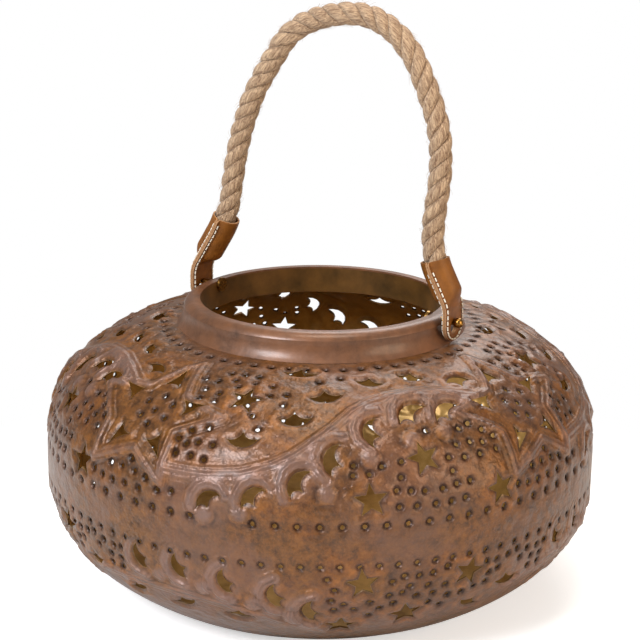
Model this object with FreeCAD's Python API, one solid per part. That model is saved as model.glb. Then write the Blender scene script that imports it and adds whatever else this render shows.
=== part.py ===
"""Punched tin lantern with a rope handle.

Two pierced tin bowls meet at the equator. A flared collar with an inner sleeve makes the
neck. Two ball studs through the neck carry the leather tabs of a three-strand rope handle.
The origin is the middle of the flat base, +Z is up, and X runs through both studs.
"""
import FreeCAD
import Part
from FreeCAD import Vector

import math
import os

# Body of the lantern
body_radius = 175.0
equator_height = 76.4
shoulder_radius = 95.5
shoulder_height = 162.2
base_radius = 123.9
shell_wall = 1.2
pattern_repeats = 4
# Polar angle of the first large star
first_star_angle = -100.0

# Knots of the two outlines, as shares of the body radius and of the rise or drop
upper_outline_shares = [(0.9954, 0.25), (0.8794, 0.721)]
lower_outline_shares = [(0.9991, 0.0977), (0.8823, 0.7074)]

# Neck
mouth_radius = 77.0
neck_wall = 1.2
neck_fit = 0.15
rim_height = 178.6
rim_radius = 81.0
sleeve_below_shell = 1.0
waist_radius = 87.2
waist_height = 174.6
collar_base_radius = 91.4
collar_flare = 1.3

# Foot ring under the lower bowl
foot_height = 2.5
foot_width = 3.5
foot_radius = 119.5

# Punched dots and pierced windows
dot_radius = 1.35
star_radius = 9.8
star_notch_share = 0.42
arm_window_length = 14.5
arm_window_reach = 24.5
leaf_length = 19.0
boat_length = 19.0
punch_reach = 3.0

# Ball studs and their screws
stud_height = 175.6
shank_radius = 2.2
shank_fit = 0.1
shank_play = 0.4
stud_neck_radius = 1.8
ball_radius = 3.2
ball_play = 0.3
screw_radius = 1.2
screw_fit = 0.05
screw_depth = 6.0
screw_head_radius = 4.6
screw_head_height = 1.8
screw_slot_width = 0.9
screw_slot_depth = 0.7

# Leather tabs, each of two layers sewn round their edges
leather_wall = 1.25
tab_half_width = 11.4
tab_tail = 11.2
tab_stand = 91.9
tab_hole_radius = 4.5
hole_play = 0.3
right_tab_length = 51.5
left_tab_length = 62.0
pocket_run = 12.0
station_step = 2.0
# Swell of a tab ahead of the rope end, as shares of that run and of the full swell
swell_shares = [(0.0, 0.0), (0.25, 0.08), (0.5, 0.40), (0.75, 0.80), (0.97, 1.0)]

# Rope handle
rope_diameter = 14.5
pocket_fit = 0.65

# Stitching
thread_diameter = 0.9
stitch_length = 2.3
stitch_pitch = 3.4
stitch_margin = 1.25
stitch_fit = 0.1

# Length by which a cutting shape passes the face that it cuts
overrun = 2.0

# Places on the upper bowl in one repeat: degrees from the large star, and share of the
# slant from the equator to the shoulder
upper_star_shares = [(-13.5, 0.222, 8), (49.5, 0.250, 4), (60.7, 0.410, 12), (21.5, 0.702, -8)]
upper_leaf_shares = [
    (19.0, 0.222, -52, 0.86), (27.6, 0.256, -44, 0.86), (36.0, 0.325, -30, 0.95),
    (42.5, 0.428, -8, 1.0), (51.0, 0.550, -4, 1.0), (61.0, 0.628, -58, 1.05),
    (69.6, 0.612, -60, 1.0)]
upper_boat_shares = [
    (24.0, 0.488, 4, 0.95), (34.4, 0.610, 4, 1.0), (41.4, 0.745, 6, 1.0),
    (33.6, 0.925, -4, 1.05), (53.6, 0.838, -20, 0.85), (66.5, 0.846, -28, 0.85),
    (79.4, 0.770, 172, 0.9)]
large_star_share = 0.556
upper_dot_shares = [
    (0.6, 0.555), (-2.7, 0.588), (0.8, 0.636), (4.4, 0.600), (4.3, 0.530), (0.8, 0.484), (-2.3, 0.515),
    (-4.3, 0.272), (-1.2, 0.276), (0.8, 0.320), (2.2, 0.272), (5.2, 0.258),
    (-9.0, 0.218), (-6.2, 0.207), (-3.2, 0.204), (0.2, 0.207), (3.8, 0.204), (8.2, 0.218), (11.4, 0.228),
    (16.0, 0.530), (12.5, 0.503), (10.0, 0.457), (12.2, 0.441), (14.7, 0.457), (18.0, 0.455),
    (10.5, 0.391), (14.0, 0.391), (17.0, 0.384),
    (46.5, 0.400), (46.3, 0.357), (49.4, 0.360), (52.0, 0.391), (56.0, 0.404), (55.5, 0.338),
    (66.0, 0.397), (66.2, 0.338), (68.5, 0.447), (71.8, 0.447), (74.8, 0.434), (78.0, 0.450),
    (70.6, 0.517), (73.3, 0.532), (75.9, 0.490), (69.5, 0.386), (73.2, 0.386), (77.5, 0.391),
    (54.4, 0.285), (57.2, 0.278), (60.0, 0.272), (63.6, 0.272), (66.6, 0.282), (69.6, 0.285),
    (54.8, 0.214), (58.2, 0.212), (62.0, 0.212), (65.2, 0.212), (68.2, 0.217),
    (62.9, 0.532), (24.6, 0.616), (26.6, 0.550), (31.2, 0.690), (27.2, 0.735), (31.4, 0.750),
    (27.0, 0.802), (22.0, 0.808), (18.0, 0.770), (22.0, 0.862), (17.4, 0.868), (13.2, 0.862),
    (16.0, 0.815), (11.4, 0.790), (7.2, 0.795), (9.6, 0.730), (14.0, 0.716), (14.0, 0.668),
    (9.8, 0.664), (39.6, 0.850), (45.8, 0.880)]
border_row_share = 0.139
border_row_count = 88
# Degrees past a large star at which the punched rows begin, and the bosses that the
# border row leaves plain
row_start = 11.5
boss_places = [18.5, 25.5]
boss_half_width = 2.0
collar_row_share = 0.962
collar_row_count = 60

# Places on the lower bowl in one repeat: degrees from the large star, and share of the
# slant from the equator down to the base
lower_star_shares = [(48.2, 0.172, 6), (69.5, 0.180, -14), (57.6, 0.455, 10), (44.6, 0.555, 0)]
lower_leaf_shares = [
    (4.0, 0.155, 32, 0.84), (13.0, 0.150, 30, 0.84), (22.5, 0.197, 24, 0.86),
    (32.0, 0.268, 20, 0.90), (38.6, 0.385, 12, 0.95)]
lower_boat_shares = [
    (79.6, 0.330, 8, 0.80), (72.0, 0.470, -30, 0.85), (12.5, 0.450, 20, 0.85),
    (24.5, 0.470, 0, 0.85), (0.6, 0.445, 24, 0.8)]
lower_dot_shares = [
    (41.6, 0.138), (43.0, 0.214), (42.4, 0.294), (44.8, 0.328), (43.0, 0.372), (46.8, 0.374),
    (49.8, 0.316), (53.8, 0.172), (56.0, 0.139), (59.0, 0.147), (61.7, 0.139), (64.6, 0.112),
    (57.3, 0.216), (60.9, 0.224), (64.5, 0.240), (53.4, 0.274), (56.0, 0.260), (58.8, 0.296),
    (62.2, 0.294), (54.4, 0.338), (51.8, 0.374), (65.5, 0.330), (68.6, 0.330), (71.2, 0.304),
    (74.0, 0.294), (74.2, 0.224), (76.4, 0.207), (73.2, 0.136), (75.8, 0.140), (78.6, 0.129),
    (81.0, 0.112), (84.0, 0.138), (82.2, 0.190), (87.0, 0.147), (89.3, 0.138), (85.8, 0.216),
    (88.7, 0.224), (85.5, 0.285), (88.6, 0.286), (61.6, 0.370), (64.4, 0.412), (49.8, 0.436)]
lower_row_share = 0.054
lower_row_count = 100

# Window outlines, as shares of each window's own size
leaf_shares = [
    (0.16, 0.50), (-0.27, 0.06), (0.04, -0.50), (0.02, -0.30), (0.26, -0.16), (0.04, 0.14)]
boat_shares = [(-0.50, 0.06), (-0.19, 0.10), (-0.02, 0.34), (0.17, 0.11), (0.50, 0.10), (-0.02, -0.20)]
arm_shares = [(-0.36, -0.38), (0.0, -0.24), (0.36, -0.38), (0.14, 0.10), (0.0, 0.62), (-0.14, 0.10)]

# Centre line of the rope at y = 0, from the left tab over the top to the right tab
rope_route = [
    (-85.04, 198.06), (-70.8, 221.0), (-67.0, 248.0), (-61.0, 276.5), (-52.0, 301.5),
    (-38.8, 323.2), (-22.3, 346.5), (8.0, 356.6), (34.5, 356.4), (58.0, 340.0), (71.5, 314.0),
    (80.3, 288.5), (80.9, 262.0), (76.9, 238.0), (77.2, 214.0), (87.89, 193.63)]


class Outline:
    """A chain of tangent arcs in the (radius, height) plane, measured by its length."""

    def __init__(self, knots, direction):
        self.spans = []
        tangent = Vector(*direction)
        for first, last in zip(knots[:-1], knots[1:]):
            start = Vector(first[0], first[1], 0)
            chord = Vector(last[0], last[1], 0) - start
            normal = Vector(-tangent.y, tangent.x, 0)
            curve = 2 * normal.dot(chord) / chord.dot(chord)
            turn = 2 * math.asin(curve * chord.Length / 2)
            self.spans.append((start, tangent, normal, curve, turn / curve))
            tangent = tangent * math.cos(turn) + normal * math.sin(turn)
        self.end_tangent = tangent
        self.length = sum(span[4] for span in self.spans)

    def on_span(self, span, distance):
        """Point and tangent at a distance along one arc."""
        start, tangent, normal, curve, length = span
        turn = curve * distance
        point = start + tangent * (math.sin(turn) / curve)
        point = point + normal * ((1 - math.cos(turn)) / curve)
        return point, tangent * math.cos(turn) + normal * math.sin(turn)

    def at(self, distance):
        """Point and tangent at a distance along the chain."""
        for span in self.spans[:-1]:
            if distance <= span[4]:
                return self.on_span(span, distance)
            distance -= span[4]
        return self.on_span(self.spans[-1], distance)

    def edges(self, inset, turn_sign):
        """Arcs of the chain, moved inwards by inset."""
        shapes = []
        for span in self.spans:
            points = []
            for part in (0.0, 0.5, 1.0):
                point, tangent = self.on_span(span, span[4] * part)
                moved = point + Vector(-tangent.y, tangent.x, 0) * (turn_sign * inset)
                points.append(Vector(moved.x, 0, moved.y))
            shapes.append(Part.Arc(*points).toShape())
        return shapes


class Route:
    """Straight runs joined by tangent arcs in the XZ plane, measured by its length."""

    def __init__(self, points):
        self.pieces = []
        self.radii = []
        here = points[0]
        for before, corner, after in zip(points[:-2], points[1:-1], points[2:]):
            run_in = (corner - before).normalize()
            run_out = (after - corner).normalize()
            turn = run_in.getAngle(run_out)
            if math.degrees(turn) < 0.01:
                continue
            set_back = 0.45 * min((corner - before).Length, (after - corner).Length)
            radius = set_back / math.tan(turn / 2)
            start = corner - run_in * set_back
            bend = (run_out - run_in).normalize()
            centre = corner + bend * (radius / math.cos(turn / 2))
            self.pieces.append((here, start, None, 0.0))
            here = corner + run_out * set_back
            self.pieces.append((start, here, centre, turn))
            self.radii.append(radius)
        self.pieces.append((here, points[-1], None, 0.0))
        self.length = sum(self.piece_length(piece) for piece in self.pieces)

    def piece_length(self, piece):
        first, last, centre, turn = piece
        if centre is None:
            return (last - first).Length
        return (first - centre).Length * turn

    def at(self, distance):
        """Point and tangent at a distance along the route."""
        for piece in self.pieces:
            length = self.piece_length(piece)
            if distance <= length or piece is self.pieces[-1]:
                break
            distance -= length
        first, last, centre, turn = piece
        if centre is None:
            tangent = (last - first).normalize()
            return first + tangent * distance, tangent
        arm = first - centre
        side = (last - centre) - arm * math.cos(turn)
        side = side.normalize() * arm.Length
        share = turn * distance / length
        point = centre + arm * math.cos(share) + side * math.sin(share)
        tangent = side * math.cos(share) - arm * math.sin(share)
        return point, tangent.normalize()

    def wire(self):
        edges = []
        for first, last, centre, turn in self.pieces:
            if centre is None:
                edges.append(line(first, last))
            else:
                middle = ((first + last) * 0.5 - centre).normalize() * (first - centre).Length
                edges.append(Part.Arc(first, centre + middle, last).toShape())
        return Part.Wire(edges)


def line(first, last):
    return Part.LineSegment(first, last).toShape()


def at_xz(x, z):
    return Vector(x, 0, z)


def revolved(edges):
    """A closed outline in the XZ plane turned once round Z."""
    face = Part.Face(Part.Wire(Part.__sortEdges__(edges)))
    return face.revolve(Vector(0, 0, 0), Vector(0, 0, 1), 360)


def ring(points):
    """A closed polygon in the XZ plane turned once round Z."""
    return revolved([line(a, b) for a, b in zip(points, points[1:] + points[:1])])


def rod(x_start, length, radius, height):
    """A round bar along X at y = 0."""
    return Part.makeCylinder(radius, length, Vector(x_start, 0, height), Vector(1, 0, 0))


def mirrored(shape):
    return shape.mirror(Vector(0, 0, 0), Vector(1, 0, 0))


# The two outlines of the body
rise = shoulder_height - equator_height
drop = equator_height - foot_height
upper_knots = [(body_radius, equator_height)]
upper_knots += [(body_radius * r, equator_height + rise * h) for r, h in upper_outline_shares]
upper_knots += [(shoulder_radius, shoulder_height)]
upper_outline = Outline(upper_knots, (0, 1, 0))
lower_knots = [(body_radius, equator_height)]
lower_knots += [(body_radius * r, equator_height - drop * h) for r, h in lower_outline_shares]
lower_knots += [(base_radius, foot_height)]
lower_outline = Outline(lower_knots, (0, -1, 0))

# The neck's sleeve stands in the hole of the shoulder
sleeve_outer = mouth_radius + neck_wall
neck_hole_radius = sleeve_outer + neck_fit


def shoulder_top(radius):
    """Height of the shoulder's straight part at a radius inside the last knot."""
    slope = upper_outline.end_tangent
    return shoulder_height - (shoulder_radius - radius) * slope.y / slope.x


def place_on(outline, distance, angle):
    """Placement of a flat drawing on a bowl: its X runs round, its Y runs up the wall."""
    point, tangent = outline.at(distance)
    up_sign = 1 if outline is upper_outline else -1
    up = Vector(tangent.x * up_sign, 0, tangent.y * up_sign)
    around = Vector(0, 1, 0)
    outward = around.cross(up)
    matrix = FreeCAD.Matrix(around.x, up.x, outward.x, point.x,
                            around.y, up.y, outward.y, 0,
                            around.z, up.z, outward.z, point.y,
                            0, 0, 0, 1)
    turn = FreeCAD.Placement(Vector(0, 0, 0), FreeCAD.Rotation(Vector(0, 0, 1), angle))
    return turn.multiply(FreeCAD.Placement(matrix))


def prism(wire):
    """A window's flat outline drawn out to both sides of the wall."""
    face = Part.Face(wire)
    face.translate(Vector(0, 0, -punch_reach))
    return face.extrude(Vector(0, 0, 2 * punch_reach))


def turned(points, size, degrees):
    cosine = math.cos(math.radians(degrees))
    sine = math.sin(math.radians(degrees))
    return [Vector(size * (x * cosine - y * sine), size * (x * sine + y * cosine), 0)
            for x, y in points]


def star_tool(degrees):
    """A five-pointed star."""
    points = []
    for step in range(10):
        reach = 1.0 if step % 2 == 0 else star_notch_share
        turn = math.radians(90 + 36 * step)
        points.append((reach * math.cos(turn), reach * math.sin(turn)))
    corners = turned(points, star_radius, degrees)
    return prism(Part.makePolygon(corners + corners[:1]))


def arc_tool(shares, size, degrees):
    """A window whose sides are arcs: its tips and the middles of its sides in turn."""
    points = turned(shares, size, degrees)
    count = len(points)
    edges = [Part.Arc(points[i], points[i + 1], points[(i + 2) % count]).toShape()
             for i in range(0, count, 2)]
    return prism(Part.Wire(edges))


def dot_tool():
    return Part.makeCylinder(dot_radius, 2 * punch_reach, Vector(0, 0, -punch_reach))


def punch_tools(outline, stars, leaves, boats, dots, rows):
    """All punches of one bowl, in every repeat of its pattern."""
    tools = []

    def put(tool, degrees, share):
        tool.Placement = place_on(outline, share * outline.length, degrees)
        tools.append(tool)

    for turn in range(pattern_repeats):
        start = first_star_angle + 360 / pattern_repeats * turn
        for degrees, share, spin in stars:
            put(star_tool(spin), start + degrees, share)
        for degrees, share, spin, scale in leaves:
            put(arc_tool(leaf_shares, leaf_length * scale, spin), start + degrees, share)
        for degrees, share, spin, scale in boats:
            put(arc_tool(boat_shares, boat_length * scale, spin), start + degrees, share)
        for degrees, share in dots:
            put(dot_tool(), start + degrees, share)
    for share, count, plain in rows:
        for index in range(count):
            degrees = row_start + 360 / count * index
            place = degrees % (360 / pattern_repeats)
            if all(abs(place - boss) > boss_half_width for boss in plain):
                put(dot_tool(), first_star_angle + degrees, share)
    return tools


def arm_window_tools():
    """The five windows in the arms of each large star."""
    tools = []
    centre = large_star_share * upper_outline.length
    for turn in range(pattern_repeats):
        start = first_star_angle + 360 / pattern_repeats * turn
        for arm in range(5):
            direction = math.radians(90 + 72 * arm)
            distance = centre + arm_window_reach * math.sin(direction)
            radius = upper_outline.at(distance)[0].x
            degrees = math.degrees(arm_window_reach * math.cos(direction) / radius)
            tool = arc_tool(arm_shares, arm_window_length, 72 * arm)
            tool.Placement = place_on(upper_outline, distance, start + degrees)
            tools.append(tool)
    return tools


def make_upper_shell():
    """Spun upper bowl with a flat shoulder that the neck stands in."""
    slope = upper_outline.end_tangent
    inward = at_xz(-slope.y, slope.x) * shell_wall
    end = at_xz(shoulder_radius, shoulder_height)
    hole_top = at_xz(neck_hole_radius, shoulder_top(neck_hole_radius))
    inner_radius = shoulder_radius + inward.x
    fall = (inner_radius - neck_hole_radius) * slope.y / slope.x
    hole_low = at_xz(neck_hole_radius, shoulder_height + inward.z - fall)
    edges = upper_outline.edges(0, 1) + upper_outline.edges(shell_wall, 1)
    edges += [line(end, hole_top), line(hole_top, hole_low), line(hole_low, end + inward)]
    edges += [line(at_xz(body_radius, equator_height),
                   at_xz(body_radius - shell_wall, equator_height))]
    tools = punch_tools(upper_outline, upper_star_shares, upper_leaf_shares,
                        upper_boat_shares, upper_dot_shares,
                        [(border_row_share, border_row_count, boss_places),
                         (collar_row_share, collar_row_count, [])])
    return revolved(edges).cut(tools + arm_window_tools())


def make_lower_shell():
    """Spun lower bowl with its flat floor."""
    slope = lower_outline.end_tangent
    inward = at_xz(slope.y, -slope.x) * shell_wall
    outer_end = at_xz(base_radius, foot_height)
    inner_end = outer_end + inward
    outer_middle = at_xz(0, foot_height)
    inner_middle = at_xz(0, inner_end.z)
    edges = lower_outline.edges(0, -1) + lower_outline.edges(shell_wall, -1)
    edges += [line(outer_end, outer_middle), line(outer_middle, inner_middle)]
    edges += [line(inner_middle, inner_end)]
    edges += [line(at_xz(body_radius, equator_height),
                   at_xz(body_radius - shell_wall, equator_height))]
    tools = punch_tools(lower_outline, lower_star_shares, lower_leaf_shares,
                        lower_boat_shares, lower_dot_shares,
                        [(lower_row_share, lower_row_count, [])])
    return revolved(edges).cut(tools)


def make_foot_ring():
    """Low ring that the lantern stands on."""
    inner = foot_radius - foot_width
    return ring([at_xz(inner, 0), at_xz(foot_radius, 0),
                 at_xz(foot_radius, foot_height), at_xz(inner, foot_height)])


def make_collar():
    """Flared collar, rolled over at the top so that its rim lies on the sleeve's edge."""
    rim = at_xz(rim_radius, rim_height)
    waist = at_xz(waist_radius, waist_height)
    base = at_xz(collar_base_radius, shoulder_top(collar_base_radius))
    chord = waist - rim
    slope = math.atan2(-chord.z, chord.x)
    roll_radius = chord.Length / 2 / math.sin(slope)
    centre = rim - at_xz(0, roll_radius)
    bulge = at_xz(-chord.z, chord.x).normalize()
    lip_height = rim_height - neck_wall
    inner_roll = roll_radius - neck_wall
    inner_rim = at_xz(rim_radius, lip_height)
    inner_waist = centre + (waist - centre).normalize() * inner_roll
    inner_base_radius = collar_base_radius - neck_wall
    inner_base = at_xz(inner_base_radius, shoulder_top(inner_base_radius))
    drawn = (base - waist).normalize()
    hollow = at_xz(drawn.z, -drawn.x) * collar_flare
    edges = [line(at_xz(mouth_radius, lip_height), at_xz(mouth_radius, rim_height)),
             line(at_xz(mouth_radius, rim_height), rim),
             Part.Arc(rim, centre + bulge * roll_radius, waist).toShape(),
             Part.Arc(waist, (waist + base) * 0.5 + hollow, base).toShape(),
             line(base, inner_base),
             Part.Arc(inner_base, (inner_waist + inner_base) * 0.5 + hollow, inner_waist).toShape(),
             Part.Arc(inner_waist, centre + bulge * inner_roll, inner_rim).toShape(),
             line(inner_rim, at_xz(mouth_radius, lip_height))]
    hole = rod(-body_radius, 2 * body_radius, shank_radius + shank_fit, stud_height)
    return revolved(edges).cut(hole)


def make_sleeve():
    """Straight inner tube of the neck, with a screw hole on each side."""
    low = shoulder_top(neck_hole_radius) - shell_wall - sleeve_below_shell
    top = rim_height - neck_wall
    tube = ring([at_xz(mouth_radius, low), at_xz(sleeve_outer, low),
                 at_xz(sleeve_outer, top), at_xz(mouth_radius, top)])
    return tube.cut(rod(-body_radius, 2 * body_radius, screw_radius + screw_fit, stud_height))


def sleeve_core(radius):
    """Round plug along Z at the height of the studs."""
    return Part.makeCylinder(radius, 2 * tab_half_width, Vector(0, 0, stud_height - tab_half_width))


# The stud reaches to the inner leather layer, and its ball stands past the outer one
shank_end = tab_stand - leather_wall - shank_play
neck_reach = stud_neck_radius + hole_play
ball_place = tab_stand + leather_wall + ball_play + math.sqrt(ball_radius ** 2 - neck_reach ** 2)


def make_stud():
    """Turned brass stud: shank, thin neck and ball, with a bore for the screw."""
    shank = rod(mouth_radius, shank_end - mouth_radius, shank_radius, stud_height)
    thin = rod(mouth_radius, ball_place - mouth_radius, stud_neck_radius, stud_height)
    ball = Part.makeSphere(ball_radius, Vector(ball_place, 0, stud_height))
    stud = shank.fuse([thin, ball]).removeSplitter()
    bore = rod(mouth_radius, neck_wall + screw_depth + screw_fit, screw_radius + screw_fit, stud_height)
    return stud.cut([sleeve_core(sleeve_outer), bore])


def make_screw():
    """Screw with a flat round slotted head, seated on the sleeve's inner face."""
    head_start = math.sqrt(mouth_radius ** 2 - screw_head_radius ** 2) - screw_head_height
    head = rod(head_start, mouth_radius - head_start + overrun, screw_head_radius, stud_height)
    head = head.common(sleeve_core(mouth_radius))
    pin = rod(head_start + screw_slot_depth + screw_head_height / 4,
              mouth_radius + neck_wall + screw_depth - head_start - screw_slot_depth - screw_head_height / 4,
              screw_radius, stud_height)
    slot = Part.makeBox(screw_slot_depth + overrun, 2 * (screw_head_radius + overrun), screw_slot_width,
                        Vector(head_start - overrun, -screw_head_radius - overrun,
                               stud_height - screw_slot_width / 2))
    return head.fuse(pin).removeSplitter().cut(slot)


# Paths of the rope and of the two straps
rope_radius = rope_diameter / 2
route_points = [at_xz(x, z) for x, z in rope_route]
rope_path = Route(route_points)
tab_foot_height = stud_height - tab_tail
pocket_radius = rope_radius + pocket_fit


def strap_path(points):
    """Path of one strap: upright at the stud, then along the rope's end."""
    run = points[0] - points[1]
    stand = math.copysign(tab_stand, points[0].x)
    bend = points[0] + run * ((stand - points[0].x) / run.x)
    return Route([at_xz(stand, tab_foot_height), bend] + points[:4])


right_path = strap_path(route_points[::-1])
left_path = strap_path(route_points)


def pocket_start(path):
    """Distance along a strap's path at which the rope's end lies."""
    end = route_points[-1] if path is right_path else route_points[0]
    return (path.pieces[0][1] - path.pieces[0][0]).Length + path.piece_length(path.pieces[1]) + (
        end - path.pieces[1][1]).Length


def layer_section(path, distance, swell, side):
    """Cross-section of one leather layer at a distance along its strap."""
    point, tangent = path.at(distance)
    outward = at_xz(tangent.z, -tangent.x) * side * math.copysign(1, point.x)
    inner = [(tab_half_width, 0), (pocket_radius * 1.2, 0), (pocket_radius * 1.03, pocket_radius * 0.15)]
    outer = [(tab_half_width, leather_wall), (pocket_radius * 1.2 + leather_wall / 4, leather_wall),
             (pocket_radius * 1.03 + leather_wall * 0.6, pocket_radius * 0.15 + leather_wall * 0.9)]
    for step in (3, 2, 1, 0):
        turn = math.radians(22.5 * step)
        inner.append((pocket_radius * math.sin(turn), pocket_radius * math.cos(turn)))
        reach = pocket_radius + leather_wall
        outer.append((reach * math.sin(turn), reach * math.cos(turn)))
    inner = [(y, h * swell) for y, h in inner]
    outer = [(y, leather_wall + (h - leather_wall) * swell) for y, h in outer]
    half = inner + [(-y, h) for y, h in inner[-2::-1]]
    back = outer + [(-y, h) for y, h in outer[-2::-1]]
    loop = [point + Vector(0, y, 0) + outward * h for y, h in half + back[::-1]]
    return Part.makePolygon(loop + loop[:1])


def swell_at(distance, full):
    """Share of the full swell at a distance along a strap."""
    share = 1 - (full - distance) / pocket_run
    for (near, low), (far, high) in zip(swell_shares[:-1], swell_shares[1:]):
        if share < far:
            return low + (high - low) * max(share - near, 0) / (far - near)
    return 1


def make_layer(path, length, side):
    """One leather layer of a tab: flat at the stud and swelling over the rope's end."""
    full = pocket_start(path)
    upright = (path.pieces[0][1] - path.pieces[0][0]).Length
    steps = math.ceil((length - upright) / station_step)
    places = [0] + [upright + (length - upright) * step / steps for step in range(steps + 1)]
    sections = [layer_section(path, distance, swell_at(distance, full), side) for distance in places]
    layer = Part.makeLoft(sections, True, True)
    stand = path.pieces[0][0].x
    below = Part.makeBox(4 * leather_wall, 2 * tab_half_width, tab_half_width,
                         Vector(stand - 2 * leather_wall, -tab_half_width, stud_height - tab_half_width))
    reach = 2 * leather_wall + overrun
    below = below.cut(rod(stand - reach, 2 * reach, tab_half_width, stud_height))
    hole_height = stud_height + neck_reach - tab_hole_radius
    hole = rod(stand - reach, 2 * reach, tab_hole_radius, hole_height)
    return layer.cut([below, hole])


def stitch(point, along, outward):
    """One straight stitch lying on the leather."""
    lift = leather_wall + stitch_fit + thread_diameter / 2
    start = point + outward * lift - along * (stitch_length / 2)
    return Part.makeCylinder(thread_diameter / 2, stitch_length, start, along)


def make_stitching(path, length):
    """Thread on both faces of a tab: up both long edges and round the tail."""
    stitches = []
    offset = tab_half_width - stitch_margin
    above_stud = tab_tail + stitch_pitch / 2
    count = int((length - above_stud - stitch_margin) / stitch_pitch)
    for index in range(count):
        point, tangent = path.at(above_stud + stitch_pitch * index)
        outward = at_xz(tangent.z, -tangent.x) * math.copysign(1, point.x)
        for face in (1, -1):
            for edge in (1, -1):
                place = point + Vector(0, edge * offset, 0)
                stitches.append(stitch(place, tangent, outward * face))
    stand = path.pieces[0][0].x
    round_count = int(math.pi * offset / stitch_pitch)
    for index in range(round_count):
        turn = math.pi * (index + 0.5) / round_count
        place = Vector(stand, -offset * math.cos(turn), stud_height - offset * math.sin(turn))
        along = Vector(0, math.sin(turn), -math.cos(turn))
        for face in (1, -1):
            stitches.append(stitch(place, along, Vector(face, 0, 0)))
    return Part.makeCompound(stitches)


def make_rope():
    """Plain tube of the rope's diameter along its route."""
    start, tangent = rope_path.at(0)
    circle = Part.Wire([Part.Circle(start, tangent, rope_radius).toShape()])
    tube = rope_path.wire().makePipeShell([circle], True, False)
    print("rope radii", [round(radius, 1) for radius in rope_path.radii])
    print("rope volume", round(tube.Volume), "expected",
          round(math.pi * rope_radius ** 2 * rope_path.length))
    return tube


parts = {
    "upper_shell": make_upper_shell(),
    "lower_shell": make_lower_shell(),
    "foot_ring": make_foot_ring(),
    "neck_collar": make_collar(),
    "neck_sleeve": make_sleeve(),
    "right_ball_stud": make_stud(),
    "left_ball_stud": mirrored(make_stud()),
    "right_stud_screw": make_screw(),
    "left_stud_screw": mirrored(make_screw()),
    "right_tab_outer": make_layer(right_path, right_tab_length, 1),
    "right_tab_inner": make_layer(right_path, right_tab_length, -1),
    "left_tab_outer": make_layer(left_path, left_tab_length, 1),
    "left_tab_inner": make_layer(left_path, left_tab_length, -1),
    "right_tab_stitching": make_stitching(right_path, right_tab_length),
    "left_tab_stitching": make_stitching(left_path, left_tab_length),
    "handle_rope": make_rope(),
}
os.makedirs("parts", exist_ok=True)
for name, shape in parts.items():
    shape.exportStep("parts/" + name + ".step")
    print(name, shape.isValid(), len(shape.Solids), len(shape.Faces), round(shape.Volume))
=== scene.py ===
import math
import random
import bmesh
import bpy
import numpy as np
from mathutils import Matrix, Vector
from mathutils.geometry import delaunay_2d_cdt


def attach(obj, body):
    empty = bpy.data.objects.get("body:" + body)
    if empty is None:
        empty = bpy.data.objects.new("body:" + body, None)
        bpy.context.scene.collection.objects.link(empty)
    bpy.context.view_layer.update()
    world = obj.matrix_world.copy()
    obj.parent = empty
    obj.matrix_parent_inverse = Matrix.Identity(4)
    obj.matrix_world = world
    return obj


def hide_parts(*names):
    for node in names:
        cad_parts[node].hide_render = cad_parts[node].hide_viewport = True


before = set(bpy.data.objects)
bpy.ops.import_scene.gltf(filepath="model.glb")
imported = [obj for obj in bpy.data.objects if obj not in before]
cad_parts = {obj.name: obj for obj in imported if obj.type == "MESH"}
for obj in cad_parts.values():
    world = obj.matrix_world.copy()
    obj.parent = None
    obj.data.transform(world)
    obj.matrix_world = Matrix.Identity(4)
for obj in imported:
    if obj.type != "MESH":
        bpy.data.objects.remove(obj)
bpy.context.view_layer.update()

# Camera, lamps and floor. The camera stands about a metre off, somewhat above the top of the
# handle, and looks down by sixteen degrees. The lamps are large and soft; the floor is pale.
scene = bpy.context.scene
scene.view_settings.view_transform = "Standard"
camera_azimuth = math.radians(30.0)
camera_distance = 0.98058
camera_height = 0.44298
camera_pitch = 0.2783
camera_yaw = -0.0009
camera_roll = 0.0113
look = Vector((math.sin(camera_yaw) * math.cos(camera_pitch),
               math.cos(camera_yaw) * math.cos(camera_pitch), -math.sin(camera_pitch)))
level = Vector((math.cos(camera_yaw), -math.sin(camera_yaw), 0.0))
upright = level.cross(look)
camera_right = math.cos(camera_roll) * level + math.sin(camera_roll) * upright
camera_up = math.cos(camera_roll) * upright - math.sin(camera_roll) * level
turned = Matrix.Rotation(camera_azimuth, 4, "Z")
stand = Matrix.Translation((0.0, -camera_distance, camera_height))
axes = Matrix((camera_right, camera_up, -look)).transposed().to_4x4()
camera_data = bpy.data.cameras.new("camera")
camera_data.lens = 90.0
camera_data.sensor_width = 36.0
camera = bpy.data.objects.new("camera", camera_data)
scene.collection.objects.link(camera)
camera.matrix_world = turned @ stand @ axes
scene.camera = camera


def linear(hex_colour):
    """An sRGB hex value as linear red, green, blue and full alpha."""
    parts = [int(hex_colour[i:i + 2], 16) / 255 for i in (0, 2, 4)]
    return tuple(c / 12.92 if c <= 0.04045 else ((c + 0.055) / 1.055) ** 2.4 for c in parts) + (1.0,)


def feed(tree, node, inputs):
    """Sets inputs of a shader node, each to a value or to the socket that feeds it."""
    for name, value in inputs.items():
        if isinstance(value, bpy.types.NodeSocket):
            tree.links.new(value, node.inputs[name])
        else:
            node.inputs[name].default_value = value


def add_node(tree, kind, inputs=None, stops=(), **settings):
    """Adds a shader node with its settings, its inputs and the two stops of a colour ramp."""
    node = tree.nodes.new("ShaderNode" + kind)
    for name, value in settings.items():
        setattr(node, name, value)
    feed(tree, node, inputs or {})
    for index, (position, colour) in enumerate(stops):
        node.color_ramp.elements[index].position = position
        node.color_ramp.elements[index].color = linear(colour)
    return node


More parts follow.
